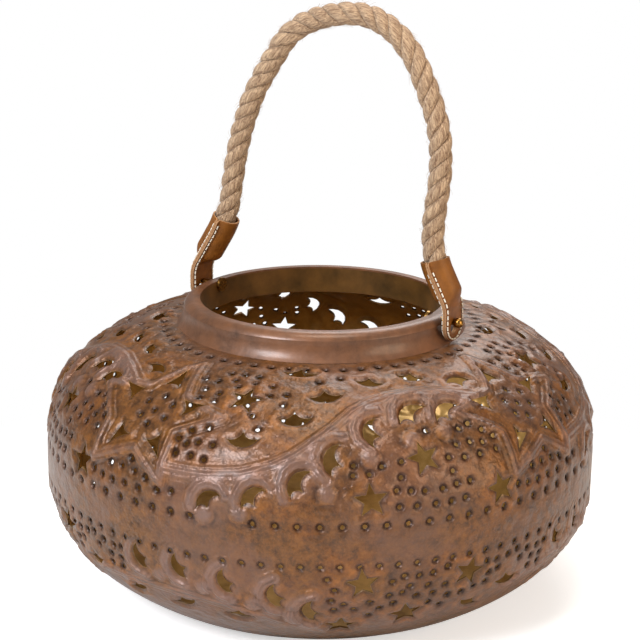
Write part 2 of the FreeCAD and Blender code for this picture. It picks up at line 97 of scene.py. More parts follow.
def new_material(name):
    """An empty node material, its tree and its principled shader, joined to the output."""
    material = bpy.data.materials.new(name)
    material.use_nodes = True
    tree = material.node_tree
    tree.nodes.clear()
    shader = add_node(tree, "BsdfPrincipled")
    add_node(tree, "OutputMaterial", {"Surface": shader.outputs[0]})
    return material, tree, shader


lamp_aim = Vector((0.0, 0.0, 0.12))


def soft_lamp(name, azimuth, elevation, distance, size, watts, tint):
    """A square lamp that faces the middle of the lantern; its azimuth starts at the camera's."""
    data = bpy.data.lights.new(name, "AREA")
    data.size = size
    data.energy = watts
    data.color = linear(tint)[:3]
    lamp = bpy.data.objects.new(name, data)
    scene.collection.objects.link(lamp)
    turn = camera_azimuth + math.radians(azimuth)
    rise = math.radians(elevation)
    away = Vector((math.sin(turn) * math.cos(rise), -math.cos(turn) * math.cos(rise), math.sin(rise)))
    lamp.location = lamp_aim + away * distance
    lamp.rotation_euler = away.to_track_quat("Z", "Y").to_euler()


soft_lamp("key_lamp", -42.0, 36.0, 1.6, 0.55, 26.5, "F2F7FF")
soft_lamp("fill_lamp", 55.0, 20.0, 1.9, 1.0, 16.0, "FFE6C8")
soft_lamp("back_lamp", 165.0, 40.0, 1.8, 1.0, 14.0, "FFFFFF")
soft_lamp("top_lamp", 20.0, 84.0, 1.2, 0.5, 7.0, "FFF4E6")
world = bpy.data.worlds.new("pale_room")
scene.world = world
world.use_nodes = True
tree = world.node_tree
tree.nodes.clear()
# The room is plain white where the camera sees it, and dimmer as light on the lantern
ray = add_node(tree, "LightPath")
white_seen = add_node(tree, "Math", {0: ray.outputs["Is Camera Ray"],
                                     1: ray.outputs["Is Transmission Ray"]}, operation="MAXIMUM")
strength = add_node(tree, "MapRange", {"Value": white_seen.outputs[0], "To Min": 0.27, "To Max": 1.0})
sky = add_node(tree, "Background", {"Color": linear("FFFFFF"), "Strength": strength.outputs[0]})
add_node(tree, "OutputWorld", {"Surface": sky.outputs[0]})
bpy.ops.mesh.primitive_plane_add(size=14.0, location=(0.0, 0.0, 0.0))
floor = bpy.context.object
floor.name = "floor"
# Matt paint, so that the floor shows a soft shadow and no reflection
floor_paint, tree, shader = new_material("matt white floor paint")
feed(tree, shader, {"Base Color": linear("F2F1EF"), "Roughness": 0.8})
# Seen from the camera the floor fades to plain white away from the lantern
seen = add_node(tree, "LightPath")
glow = add_node(tree, "Emission", {"Color": linear("FFFFFF"), "Strength": 0.55})
near_floor = add_node(tree, "AddShader", {0: shader.outputs[0], 1: glow.outputs[0]})
far_floor = add_node(tree, "Emission", {"Color": linear("FFFFFF"), "Strength": 1.0})
place = add_node(tree, "TexCoord").outputs["Object"]
from_middle = add_node(tree, "VectorMath", {0: place}, operation="LENGTH")
smooth = {"interpolation_type": "SMOOTHSTEP"}
fade = add_node(tree, "MapRange", {"Value": from_middle.outputs["Value"], "From Min": 0.13,
                                   "From Max": 0.36}, **smooth)
shown = add_node(tree, "MixShader", {0: fade.outputs[0], 1: near_floor.outputs[0],
                                     2: far_floor.outputs[0]})
pick = add_node(tree, "MixShader", {0: seen.outputs["Is Camera Ray"], 1: shader.outputs[0],
                                    2: shown.outputs[0]})
feed(tree, tree.nodes["Material Output"], {"Surface": pick.outputs[0]})
floor.data.materials.append(floor_paint)


# Handle rope: three strands of jute, laid right-handed, fourteen and a half millimetres
# thick. Its ends go down into the two leather tabs, and it keeps the bends of its coil. Sizes
# are in metres.
rope_diameter = 0.0145
rope_route = [(-0.08504, 0.19806), (-0.0708, 0.2210), (-0.0670, 0.2480), (-0.0610, 0.2765),
              (-0.0520, 0.3015), (-0.0388, 0.3232), (-0.0223, 0.3465), (0.0080, 0.3566),
              (0.0345, 0.3564), (0.0580, 0.3400), (0.0715, 0.3140), (0.0803, 0.2885),
              (0.0809, 0.2620), (0.0769, 0.2380), (0.0772, 0.2140), (0.08789, 0.19363)]
line_data = bpy.data.curves.new("rope_line", "CURVE")
line_data.dimensions = "3D"
line_data.resolution_u = 24
spline = line_data.splines.new("NURBS")
spline.points.add(len(rope_route) - 1)
for point, (x, z) in zip(spline.points, rope_route):
    point.co = (x, 0.0, z, 1.0)
spline.order_u = 3
spline.use_endpoint_u = True
rope_line = bpy.data.objects.new("rope_line", line_data)
scene.collection.objects.link(rope_line)
bpy.context.view_layer.update()
line_mesh = bpy.data.meshes.new_from_object(rope_line)
line_points = np.array([v.co for v in line_mesh.vertices])
bpy.data.objects.remove(rope_line)
bpy.data.meshes.remove(line_mesh)
steps = np.r_[0.0, np.cumsum(np.linalg.norm(np.diff(line_points, axis=0), axis=1))]
rope_length = float(steps[-1])
ring_gap = 0.0013
rings = int(rope_length / ring_gap)
along = np.linspace(0.0, rope_length, rings + 1)
centres = np.stack([np.interp(along, steps, line_points[:, i]) for i in range(3)], axis=1)
tangents = np.gradient(centres, axis=0)
tangents /= np.linalg.norm(tangents, axis=1)[:, None]
side_y = np.tile(np.array([0.0, 1.0, 0.0]), (rings + 1, 1))
side_n = np.cross(side_y, tangents)
strand_radius = 0.0043
strand_offset = rope_diameter / 2 - strand_radius
strand_gap = 0.00004
strand_spread = 1.15
lay_length = 0.0325
yarns = 7
yarn_twist = 190.0
yarn_depth = 0.06
around = 30
# How far the lay wanders and the strands thin: depth, radians to the metre, shift by strand
wander_waves = ((0.16, 61.0), (0.10, 139.0))
plump_waves = ((0.03, 83.0, 1.7), (0.025, 251.0, 1.0))
rope_vertices = []
rope_faces = []
laid = []
for index in range(3):
    base = len(rope_vertices)
    wander = sum(depth * np.sin(along * wave) for depth, wave in wander_waves)
    turn = 2 * math.pi * (along / lay_length + index / 3) + wander
    plump = sum((depth * np.sin(along * wave + index * shift) for depth, wave, shift in plump_waves), 1.0)
    for i in range(rings + 1):
        out = (math.cos(turn[i]), math.sin(turn[i]))
        for j in range(around):
            angle = 2 * math.pi * j / around
            yarn = abs(math.cos(yarns / 2 * (angle + along[i] * yarn_twist)))
            radius = strand_radius * min(plump[i], 1.0) * (1 - yarn_depth + yarn_depth * yarn)
            reach = strand_offset + radius * math.cos(angle)
            side = strand_spread * radius * math.sin(angle)
            # Neighbouring strands press flat against each other
            for edge in (-1, 1):
                depth = reach * math.sqrt(3) / 2 - edge * side / 2
                if depth < strand_gap:
                    push = strand_gap - depth
                    reach += push * math.sqrt(3) / 2
                    side -= edge * push / 2
            n, y = reach * out[0] - side * out[1], reach * out[1] + side * out[0]
            rope_vertices.append(centres[i] + n * side_n[i] + y * side_y[i])
            laid.append((n, y, along[i]))
    for i in range(rings):
        for j in range(around):
            k = (j + 1) % around
            a, b = base + i * around + j, base + i * around + k
            rope_faces.append((a, b, b + around, a + around))
    for i, order in ((0, -1), (rings, 1)):
        rope_faces.append(tuple(base + i * around + j for j in range(around))[::order])
rope_mesh = bpy.data.meshes.new("rope_strands")
rope_mesh.from_pydata(rope_vertices, [], rope_faces)
laid_places = rope_mesh.attributes.new("laid", "FLOAT_VECTOR", "POINT")
laid_places.data.foreach_set("vector", np.array(laid).ravel())
rope_mesh.shade_smooth()
rope_strands = bpy.data.objects.new("rope_strands", rope_mesh)
scene.collection.objects.link(rope_strands)

# Jute spun into yarns and laid: pale, dull and hairy, streaked along the fibres
jute, tree, shader = new_material("laid jute yarn")
laid_place = add_node(tree, "Attribute", attribute_name="laid").outputs["Vector"]
# The yarns are twisted against the strands, so that the fibres lie along the rope: about
# eight tenths of a millimetre apart and ten long, with short dark flecks of bark
fibre_map = add_node(tree, "Mapping", {"Vector": laid_place,
                                       "Scale": (1 / 0.0008, 1 / 0.0008, 1 / 0.0100)})
fibre = add_node(tree, "TexNoise", {"Vector": fibre_map.outputs[0], "Scale": 1.0, "Detail": 4.0,
                                    "Roughness": 0.7, "Distortion": 0.6}).outputs["Fac"]
fleck_map = add_node(tree, "Mapping", {"Vector": laid_place,
                                       "Scale": (1 / 0.0006, 1 / 0.0006, 1 / 0.0022)})
fleck = add_node(tree, "TexNoise", {"Vector": fleck_map.outputs[0], "Scale": 1.0, "Detail": 2.0})
tone = add_node(tree, "ValToRGB", {"Fac": fibre}, [(0.36, "735339"), (0.62, "CDAE8B")])
dark_fleck = add_node(tree, "MapRange", {"Value": fleck.outputs["Fac"], "From Min": 0.57,
                                         "From Max": 0.68, "To Max": 0.8}, **smooth)
colours = {"data_type": "RGBA"}
jute_colour = add_node(tree, "Mix", {0: dark_fleck.outputs[0], 6: tone.outputs[0],
                                     7: linear("6A4527")}, **colours)
bump = add_node(tree, "Bump", {"Height": fibre, "Strength": 0.9, "Distance": 0.0012})
feed(tree, shader, {"Base Color": jute_colour.outputs[2], "Roughness": 0.9, "Sheen Weight": 0.15,
                    "Normal": bump.outputs[0]})
rope_mesh.materials.append(jute)

# Loose ends of fibre that stand off the strands by a millimetre or two: each rises, levels
# off and grows thinner towards its tip
fibre_count = 2200
fibre_radius = 0.00010
fibre_taper = 0.6
fibre_root = 0.0012
fibre_reach, fibre_lift, fibre_sway = (0.0015, 0.0050), (0.15, 0.75), (-0.6, 0.6)
bare_end_rings = 12
random.seed(11)
fibre_vertices = []
fibre_faces = []
for count in range(fibre_count):
    i = random.randrange(bare_end_rings, rings - bare_end_rings)
    turn = random.uniform(0.0, 2 * math.pi)
    radial = Vector(math.cos(turn) * side_n[i] + math.sin(turn) * side_y[i])
    forward = Vector(tangents[i]) * random.choice((-1.0, 1.0))
    wide = radial.cross(forward)
    start = Vector(centres[i]) + radial * (rope_diameter / 2 - fibre_root)
    reach = random.uniform(*fibre_reach)
    lift = random.uniform(*fibre_lift)
    sway = random.uniform(*fibre_sway)
    first = len(fibre_vertices)
    for step in range(4):
        t = step / 3
        point = start + forward * reach * t
        point += radial * reach * lift * t * (1.4 - 0.5 * t)
        point += wide * reach * sway * t * t
        thick = fibre_radius * (1.0 - fibre_taper * t)
        for corner in range(3):
            angle = 2 * math.pi * corner / 3
            fibre_vertices.append(point + radial * thick * math.cos(angle) + wide * thick * math.sin(angle))
    for step in range(3):
        for corner in range(3):
            a = first + step * 3 + corner
            b = first + step * 3 + (corner + 1) % 3
            fibre_faces.append((a + 3, b + 3, b, a))
    fibre_faces.append((first, first + 1, first + 2))
    fibre_faces.append((first + 11, first + 10, first + 9))
fibre_mesh = bpy.data.meshes.new("rope_fibres")
fibre_mesh.from_pydata(fibre_vertices, [], fibre_faces)
rope_fibres = bpy.data.objects.new("rope_fibres", fibre_mesh)
scene.collection.objects.link(rope_fibres)
fibre_mesh.materials.append(jute)
for piece in (rope_strands, rope_fibres):
    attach(piece, "handle")
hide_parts("handle_rope")


# Upper and lower bowl: spun tin, twelve tenths of a millimetre thick, punched from both
# sides over a pitch bed, so that each hole lies in a dimple and each window in a raised
# border. The two bowls meet edge to edge in the smooth band. Sizes are in millimetres.
body_radius = 175.0
equator_height = 76.4
shoulder_radius = 95.5
neck_hole_radius = 78.35
floor_height = 2.5
floor_rings = (112.0, 90.0, 60.0, 30.0)
wall = 1.2
quarter = 90.0
first_star_angle = -100.0
row_start = 11.5
boss_half_width = 2.0


def bowl_arcs(knots, direction):
    """Tangent arcs through the knots of a bowl's outline: start, tangent, bend and length."""
    arcs = []
    tangent = Vector(direction)
    for first, last in zip(knots[:-1], knots[1:]):
        chord = Vector(last) - Vector(first)
        normal = Vector((-tangent.y, tangent.x))
        bend = 2 * normal.dot(chord) / chord.dot(chord)
        turn = 2 * math.asin(bend * chord.length / 2)
        arcs.append((Vector(first), tangent.copy(), normal, bend, turn / bend))
        tangent = tangent * math.cos(turn) + normal * math.sin(turn)
    arcs.append((Vector(last), tangent, Vector((-tangent.y, tangent.x)), 0.0, 1e9))
    return arcs


def on_bowl(arcs, distance):
    """Point and tangent of the outline at a distance from the equator."""
    for start, tangent, normal, bend, length in arcs:
        if distance <= length:
            break
        distance -= length
    if bend == 0.0:
        return start + tangent * distance, tangent
    turn = bend * distance
    point = start + tangent * (math.sin(turn) / bend) + normal * ((1 - math.cos(turn)) / bend)
    return point, tangent * math.cos(turn) + normal * math.sin(turn)


upper_arcs = bowl_arcs([(body_radius, equator_height), (174.195, 97.85), (153.895, 138.262),
                        (shoulder_radius, 162.2)], (0.0, 1.0))
lower_arcs = bowl_arcs([(body_radius, equator_height), (174.843, 69.18), (154.403, 24.123),
                        (123.9, floor_height)], (0.0, -1.0))
upper_length = sum(arc[4] for arc in upper_arcs[:-1])
lower_length = sum(arc[4] for arc in lower_arcs[:-1])

# Punch outlines as shares of their own size: a star, a feather leaf, a boat-shaped petal
# and the long window in each arm of the large star
star_waist = 0.42
star_outline = []
for i in range(10):
    reach = 1.0 if i % 2 == 0 else star_waist
    turn = math.radians(90 + 36 * i)
    star_outline.append((reach * math.cos(turn), reach * math.sin(turn)))
leaf_bends = [(0.16, 0.50), (-0.27, 0.06), (0.04, -0.50), (0.02, -0.30), (0.26, -0.16), (0.04, 0.14)]
boat_bends = [(-0.50, 0.06), (-0.19, 0.10), (-0.02, 0.34), (0.17, 0.11), (0.50, 0.10), (-0.02, -0.20)]
# Ridge that curls round the outer side of each leaf window
scroll_arc = [(0.26, 0.74), (-0.16, 0.68), (-0.46, 0.42), (-0.58, 0.04), (-0.46, -0.36), (-0.12, -0.68)]
arm_bends = [(-0.36, -0.38), (0.0, -0.24), (0.36, -0.38), (0.14, 0.10), (0.0, 0.62), (-0.14, 0.10)]


def arc_outline(bends, pieces=6):
    """Points along three-point arcs: tips and middles of the sides in turn."""
    points = []
    for i in range(0, len(bends), 2):
        a, m, b = (Vector(bends[k % len(bends)]) for k in (i, i + 1, i + 2))
        d = 2 * ((a.x - m.x) * (b.y - m.y) - (b.x - m.x) * (a.y - m.y))
        a2, m2, b2 = a.length_squared, m.length_squared, b.length_squared
        centre = Vector(((a2 * (b.y - m.y) + b2 * (m.y - a.y) + m2 * (a.y - b.y)) / d,
                         (a2 * (m.x - b.x) + b2 * (a.x - m.x) + m2 * (b.x - a.x)) / d))
        start = math.atan2(a.y - centre.y, a.x - centre.x)
        end = math.atan2(b.y - centre.y, b.x - centre.x)
        mid = math.atan2(m.y - centre.y, m.x - centre.x)
        sweep = (end - start) % (2 * math.pi)
        if (mid - start) % (2 * math.pi) > sweep:
            sweep -= 2 * math.pi
        radius = (a - centre).length
        for step in range(pieces):
            turn = start + sweep * step / pieces
            points.append((centre.x + radius * math.cos(turn), centre.y + radius * math.sin(turn)))
    return points


leaf_outline = arc_outline(leaf_bends)
boat_outline = arc_outline(boat_bends)
arm_outline = arc_outline(arm_bends)
dot_outline = [(math.cos(math.pi * i / 4), math.sin(math.pi * i / 4)) for i in range(8)]
star_size, leaf_size, boat_size, arm_size, dot_size = 9.8, 19.0, 19.0, 14.5, 1.35
# The large star: its middle as a share of the slant, and how far off each arm's window sits
large_star_share = 0.556
arm_reach = 24.5

# Places: degrees from the large star, share of the slant from the equator, turn, scale
upper_places = {
    "star": [(-13.5, 0.222, 8, 1.0), (49.5, 0.250, 4, 1.0), (60.7, 0.410, 12, 1.0),
             (21.5, 0.702, -8, 1.0)],
    "leaf": [(19.0, 0.222, -52, 0.86), (27.6, 0.256, -44, 0.86), (36.0, 0.325, -30, 0.95),
             (42.5, 0.428, -8, 1.0), (51.0, 0.550, -4, 1.0), (61.0, 0.628, -58, 1.05),
             (69.6, 0.612, -60, 1.0)],
    "boat": [(24.0, 0.488, 4, 0.95), (34.4, 0.610, 4, 1.0), (41.4, 0.745, 6, 1.0),
             (33.6, 0.925, -4, 1.05), (53.6, 0.838, -20, 0.85), (66.5, 0.846, -28, 0.85),
             (79.4, 0.770, 172, 0.9)],
    "dot": [
        (0.6, 0.555), (-2.7, 0.588), (0.8, 0.636), (4.4, 0.600), (4.3, 0.530), (0.8, 0.484),
        (-2.3, 0.515), (-4.3, 0.272), (-1.2, 0.276), (0.8, 0.320), (2.2, 0.272), (5.2, 0.258),
        (-9.0, 0.218), (-6.2, 0.207), (-3.2, 0.204), (0.2, 0.207), (3.8, 0.204), (8.2, 0.218),
        (11.4, 0.228), (16.0, 0.530), (12.5, 0.503), (10.0, 0.457), (12.2, 0.441), (14.7, 0.457),
        (18.0, 0.455), (10.5, 0.391), (14.0, 0.391), (17.0, 0.384), (46.5, 0.400), (46.3, 0.357),
        (49.4, 0.360), (52.0, 0.391), (56.0, 0.404), (55.5, 0.338), (66.0, 0.397), (66.2, 0.338),
        (68.5, 0.447), (71.8, 0.447), (74.8, 0.434), (78.0, 0.450), (70.6, 0.517), (73.3, 0.532),
        (75.9, 0.490), (69.5, 0.386), (73.2, 0.386), (77.5, 0.391), (54.4, 0.285), (57.2, 0.278),
        (60.0, 0.272), (63.6, 0.272), (66.6, 0.282), (69.6, 0.285), (54.8, 0.214), (58.2, 0.212),
        (62.0, 0.212), (65.2, 0.212), (68.2, 0.217), (62.9, 0.532), (24.6, 0.616), (26.6, 0.550),
        (31.2, 0.690), (27.2, 0.735), (31.4, 0.750), (27.0, 0.802), (22.0, 0.808), (18.0, 0.770),
        (22.0, 0.862), (17.4, 0.868), (13.2, 0.862), (16.0, 0.815), (11.4, 0.790), (7.2, 0.795),
        (9.6, 0.730), (14.0, 0.716), (14.0, 0.668), (9.8, 0.664), (39.6, 0.850), (45.8, 0.880)],
    "rows": [(0.139, 22, [18.5, 25.5]), (0.962, 15, [])],
    "boss": [(18.5, 0.152), (25.5, 0.172), (41.5, 0.278), (50.0, 0.424), (59.0, 0.497), (67.0, 0.510)],
    "ridge": [
        [(2.0, 0.8875), (7.0, 0.655), (18.0, 0.583), (8.7, 0.477), (8.7, 0.2517), (0.5, 0.371),
         (-9.5, 0.2716), (-9.7, 0.450), (-18.4, 0.596), (-5.5, 0.660), (2.0, 0.8875)]],
    "stem": [
        [(9.0, 0.318), (17.0, 0.322), (25.0, 0.345), (31.0, 0.390), (35.0, 0.437), (40.0, 0.520),
         (43.4, 0.580), (47.5, 0.655), (52.0, 0.700), (56.6, 0.722), (65.0, 0.735), (73.0, 0.705),
         (80.0, 0.655)]]}
lower_places = {
    "star": [(48.2, 0.172, 6, 1.0), (69.5, 0.180, -14, 1.0), (57.6, 0.455, 10, 1.0),
             (44.6, 0.555, 0, 1.0)],
    "leaf": [(4.0, 0.155, 32, 0.84), (13.0, 0.150, 30, 0.84), (22.5, 0.197, 24, 0.86),
             (32.0, 0.268, 20, 0.90), (38.6, 0.385, 12, 0.95)],
    "boat": [(79.6, 0.330, 8, 0.80), (72.0, 0.470, -30, 0.85), (12.5, 0.450, 20, 0.85),
             (24.5, 0.470, 0, 0.85), (0.6, 0.445, 24, 0.8)],
    "dot": [
        (41.6, 0.138), (43.0, 0.214), (42.4, 0.294), (44.8, 0.328), (43.0, 0.372), (46.8, 0.374),
        (49.8, 0.316), (53.8, 0.172), (56.0, 0.139), (59.0, 0.147), (61.7, 0.139), (64.6, 0.112),
        (57.3, 0.216), (60.9, 0.224), (64.5, 0.240), (53.4, 0.274), (56.0, 0.260), (58.8, 0.296),
        (62.2, 0.294), (54.4, 0.338), (51.8, 0.374), (65.5, 0.330), (68.6, 0.330), (71.2, 0.304),
        (74.0, 0.294), (74.2, 0.224), (76.4, 0.207), (73.2, 0.136), (75.8, 0.140), (78.6, 0.129),
        (81.0, 0.112), (84.0, 0.138), (82.2, 0.190), (87.0, 0.147), (89.3, 0.138), (85.8, 0.216),
        (88.7, 0.224), (85.5, 0.285), (88.6, 0.286), (61.6, 0.370), (64.4, 0.412), (49.8, 0.436)],
    "rows": [(0.054, 25, [])],
    "boss": [(8.5, 0.235), (18.0, 0.255), (27.5, 0.330), (35.0, 0.430)],
    "ridge": [],
    "stem": [[(-10.0, 0.345), (2.0, 0.325), (15.0, 0.328), (23.0, 0.370), (30.0, 0.432), (40.0, 0.604)]]}


def lay_out(arcs, outline, size, spin, degrees, distance, mirror=1.0):
    """An outline laid on a bowl: degrees round it, and millimetres from the equator."""
    radius = on_bowl(arcs, distance)[0].x
    c, s = math.cos(math.radians(spin)), math.sin(math.radians(spin))
    loop = []
    for x, y in outline:
        u, v = size * (x * c - y * s), size * (x * s + y * c)
        loop.append((degrees + math.degrees(u / radius), distance + v * mirror))
    return loop


# Points that carry the relief's shape: rings round each dimple, rows along each raised line
dimple_rings = ((2.35, 8), (3.6, 10))
line_step = 1.8
line_asides = (0.0, 1.7, -1.7, 3.4, -3.4)


def relief_points(arcs, dots, lines):
    """Extra points of the sheet where its relief is sharp."""
    extra = []
    for degrees, distance in dots:
        radius = on_bowl(arcs, distance)[0].x
        for ring_radius, count in dimple_rings:
            for i in range(count):
                turn = 2 * math.pi * (i + 0.5) / count
                extra.append((degrees + math.degrees(ring_radius * math.cos(turn) / radius),
                              distance + ring_radius * math.sin(turn)))
    for line in lines:
        for (a1, s1), (a2, s2) in zip(line[:-1], line[1:]):
            radius = on_bowl(arcs, (s1 + s2) / 2)[0].x
            du, ds = math.radians(a2 - a1) * radius, s2 - s1
            run = math.hypot(du, ds)
            count = max(1, int(round(run / line_step)))
            for i in range(count):
                for aside in line_asides:
                    u = du * i / count - ds / run * aside
                    v = ds * i / count + du / run * aside
                    extra.append((a1 + math.degrees(u / radius), s1 + v))
    return extra


# The sheet's mesh: how far apart its points lie, how far they are moved at random, how near
# they come to a hole's edge and to one another
point_spacing = 2.5
row_share = 0.87
jitter_around, jitter_along = 0.16, 0.14
edge_gap = 0.75
closest = 1.0
cell = 1.1


def sheet_points(arcs, total, holes, extra, seed):
    """Points of a quarter of a bowl: the holes' edges first, then those that fill the sheet."""
    radius_at = lambda s: on_bowl(arcs, s)[0].x
    points = [point for hole in holes for point in hole]
    edges = np.array(points)
    edge_rows = (0.0, total)
    random.seed(seed)
    rows = int(total / (point_spacing * row_share))
    grid = []
    for row in range(rows + 1):
        s = total * row / rows
        count = max(12, int(round(radius_at(s) * math.pi / 2 / point_spacing)))
        for i in range(count):
            a = quarter * (i + (row % 2) * 0.5) / count
            if s in edge_rows:
                grid.append((a, s))
            else:
                a += random.uniform(-jitter_around, jitter_around) * quarter / count
                grid.append((a % quarter, s + random.uniform(-jitter_along, jitter_along) * point_spacing))

    def near_edge(a, s):
        radius = radius_at(s)
        for shift in (-quarter, 0.0, quarter):
            du = np.radians(edges[:, 0] + shift - a) * radius
            if (du * du + (edges[:, 1] - s) ** 2).min() < edge_gap * edge_gap:
                return True
        return False

    cells = {}
    for a, s in extra + grid:
        if s not in edge_rows:
            if s <= 0.0 or s >= total or near_edge(a, s):
                continue
            a %= quarter
        x = math.radians(a) * radius_at(s)
        column, row = int(x / cell), int(s / cell)
        beside = [point for i in (-1, 0, 1) for j in (-1, 0, 1)
                  for point in cells.get((column + i, row + j), ())]
        crowded = any((bx - x) ** 2 + (bs - s) ** 2 < closest ** 2 for bx, bs in beside)
        if s in edge_rows or not crowded:
            cells.setdefault((column, row), []).append((x, s))
            points.append((a, s))
    return np.array(points)


# The quarter is laid flat at a middling radius, with a margin of its neighbours on each side
flat_radius = 150.0
margin = 16.0


def quarter_triangles(points, holes):
    """Triangles of a quarter, holes left open; a corner is a point and the quarter it is in."""
    owners = []
    for hole in holes:
        first = owners[-1][-1] + 1 if owners else 0
        owners.append(list(range(first, first + len(hole))))
    flat, identity, loops = [], [], []
    for shift in (-1, 0, 1):
        position = {}
        for i, (a, s) in enumerate(points):
            angle = a + shift * quarter
            if -margin <= angle <= quarter + margin:
                position[i] = len(flat)
                flat.append(Vector((math.radians(angle) * flat_radius, s)))
                identity.append((i, shift, angle))
        for owner in owners:
            if all(i in position for i in owner):
                loops.append([position[i] for i in owner])
    result = delaunay_2d_cdt(flat, [], loops, 0, 1e-6)
    triangles = []
    for triangle, source in zip(result[2], result[5]):
        corners = [result[3][v][0] for v in triangle]
        centre = sum(identity[c][2] for c in corners) / 3
        if not source and 0.0 <= centre < quarter:
            triangles.append([identity[c][:2] for c in corners])
    return triangles


far_away = 99.0


def spot_distance(points, radii, spots):
    """Millimetres from each point to the nearest of some spots."""
    nearest = np.full(len(points), far_away)
    for a, s in spots:
        for shift in (-quarter, 0.0, quarter):
            du = np.radians(points[:, 0] - a - shift) * radii
            nearest = np.minimum(nearest, np.hypot(du, points[:, 1] - s))
    return nearest


def line_distance(points, radii, lines):
    """Millimetres from each point to the nearest of some lines."""
    nearest = np.full(len(points), far_away)
    for line in lines:
        for (a1, s1), (a2, s2) in zip(line[:-1], line[1:]):
            for shift in (-quarter, 0.0, quarter):
                x1 = np.radians(a1 + shift - points[:, 0]) * radii
                x2 = np.radians(a2 + shift - points[:, 0]) * radii
                y1, y2 = s1 - points[:, 1], s2 - points[:, 1]
                dx, dy = x2 - x1, y2 - y1
                t = np.clip(-(x1 * dx + y1 * dy) / (dx * dx + dy * dy + 1e-12), 0.0, 1.0)
                nearest = np.minimum(nearest, np.hypot(x1 + t * dx, y1 + t * dy))
    return nearest


def swell_of(distance, height, width, middle=0.0, power=2):
    """Relief in millimetres: highest at a distance, fading to both sides of it."""
    return height * np.exp(-(((distance - middle) / width) ** power))


def thick_sheet(mesh, materials, thickness, offset, inside, rim, probe, outward):
    """Turns a sheet face out, judged at the face that probe puts first, and gives it its wall."""
    work = bmesh.new()
    work.from_mesh(mesh)
    loose = [v for v in work.verts if not v.link_faces]
    bmesh.ops.delete(work, geom=loose, context="VERTS")
    bmesh.ops.recalc_face_normals(work, faces=work.faces)
    judged = max(work.faces, key=probe)
    if judged.normal.dot(outward(judged)) < 0:
        bmesh.ops.reverse_faces(work, faces=work.faces)
    work.to_mesh(mesh)
    work.free()
    mesh.shade_smooth()
    for material in materials:
        mesh.materials.append(material)
    piece = bpy.data.objects.new(mesh.name, mesh)
    scene.collection.objects.link(piece)
    bpy.ops.object.select_all(action="DESELECT")
    piece.select_set(True)
    bpy.context.view_layer.objects.active = piece
    modifier = piece.modifiers.new("wall", "SOLIDIFY")
    modifier.thickness = thickness / 1000
    modifier.offset = offset
    modifier.material_offset = inside
    modifier.material_offset_rim = rim
    bpy.ops.object.modifier_apply(modifier="wall")
    return piece


# Over how much of the slant the relief rises from nothing at the equator and at the neck, how
# uneven the bowl itself is, and the size of a boss
calm_equator, calm_neck = 9.0, 16.0
dent_depth = 0.28
boss_height, boss_radius = 1.7, 5.6


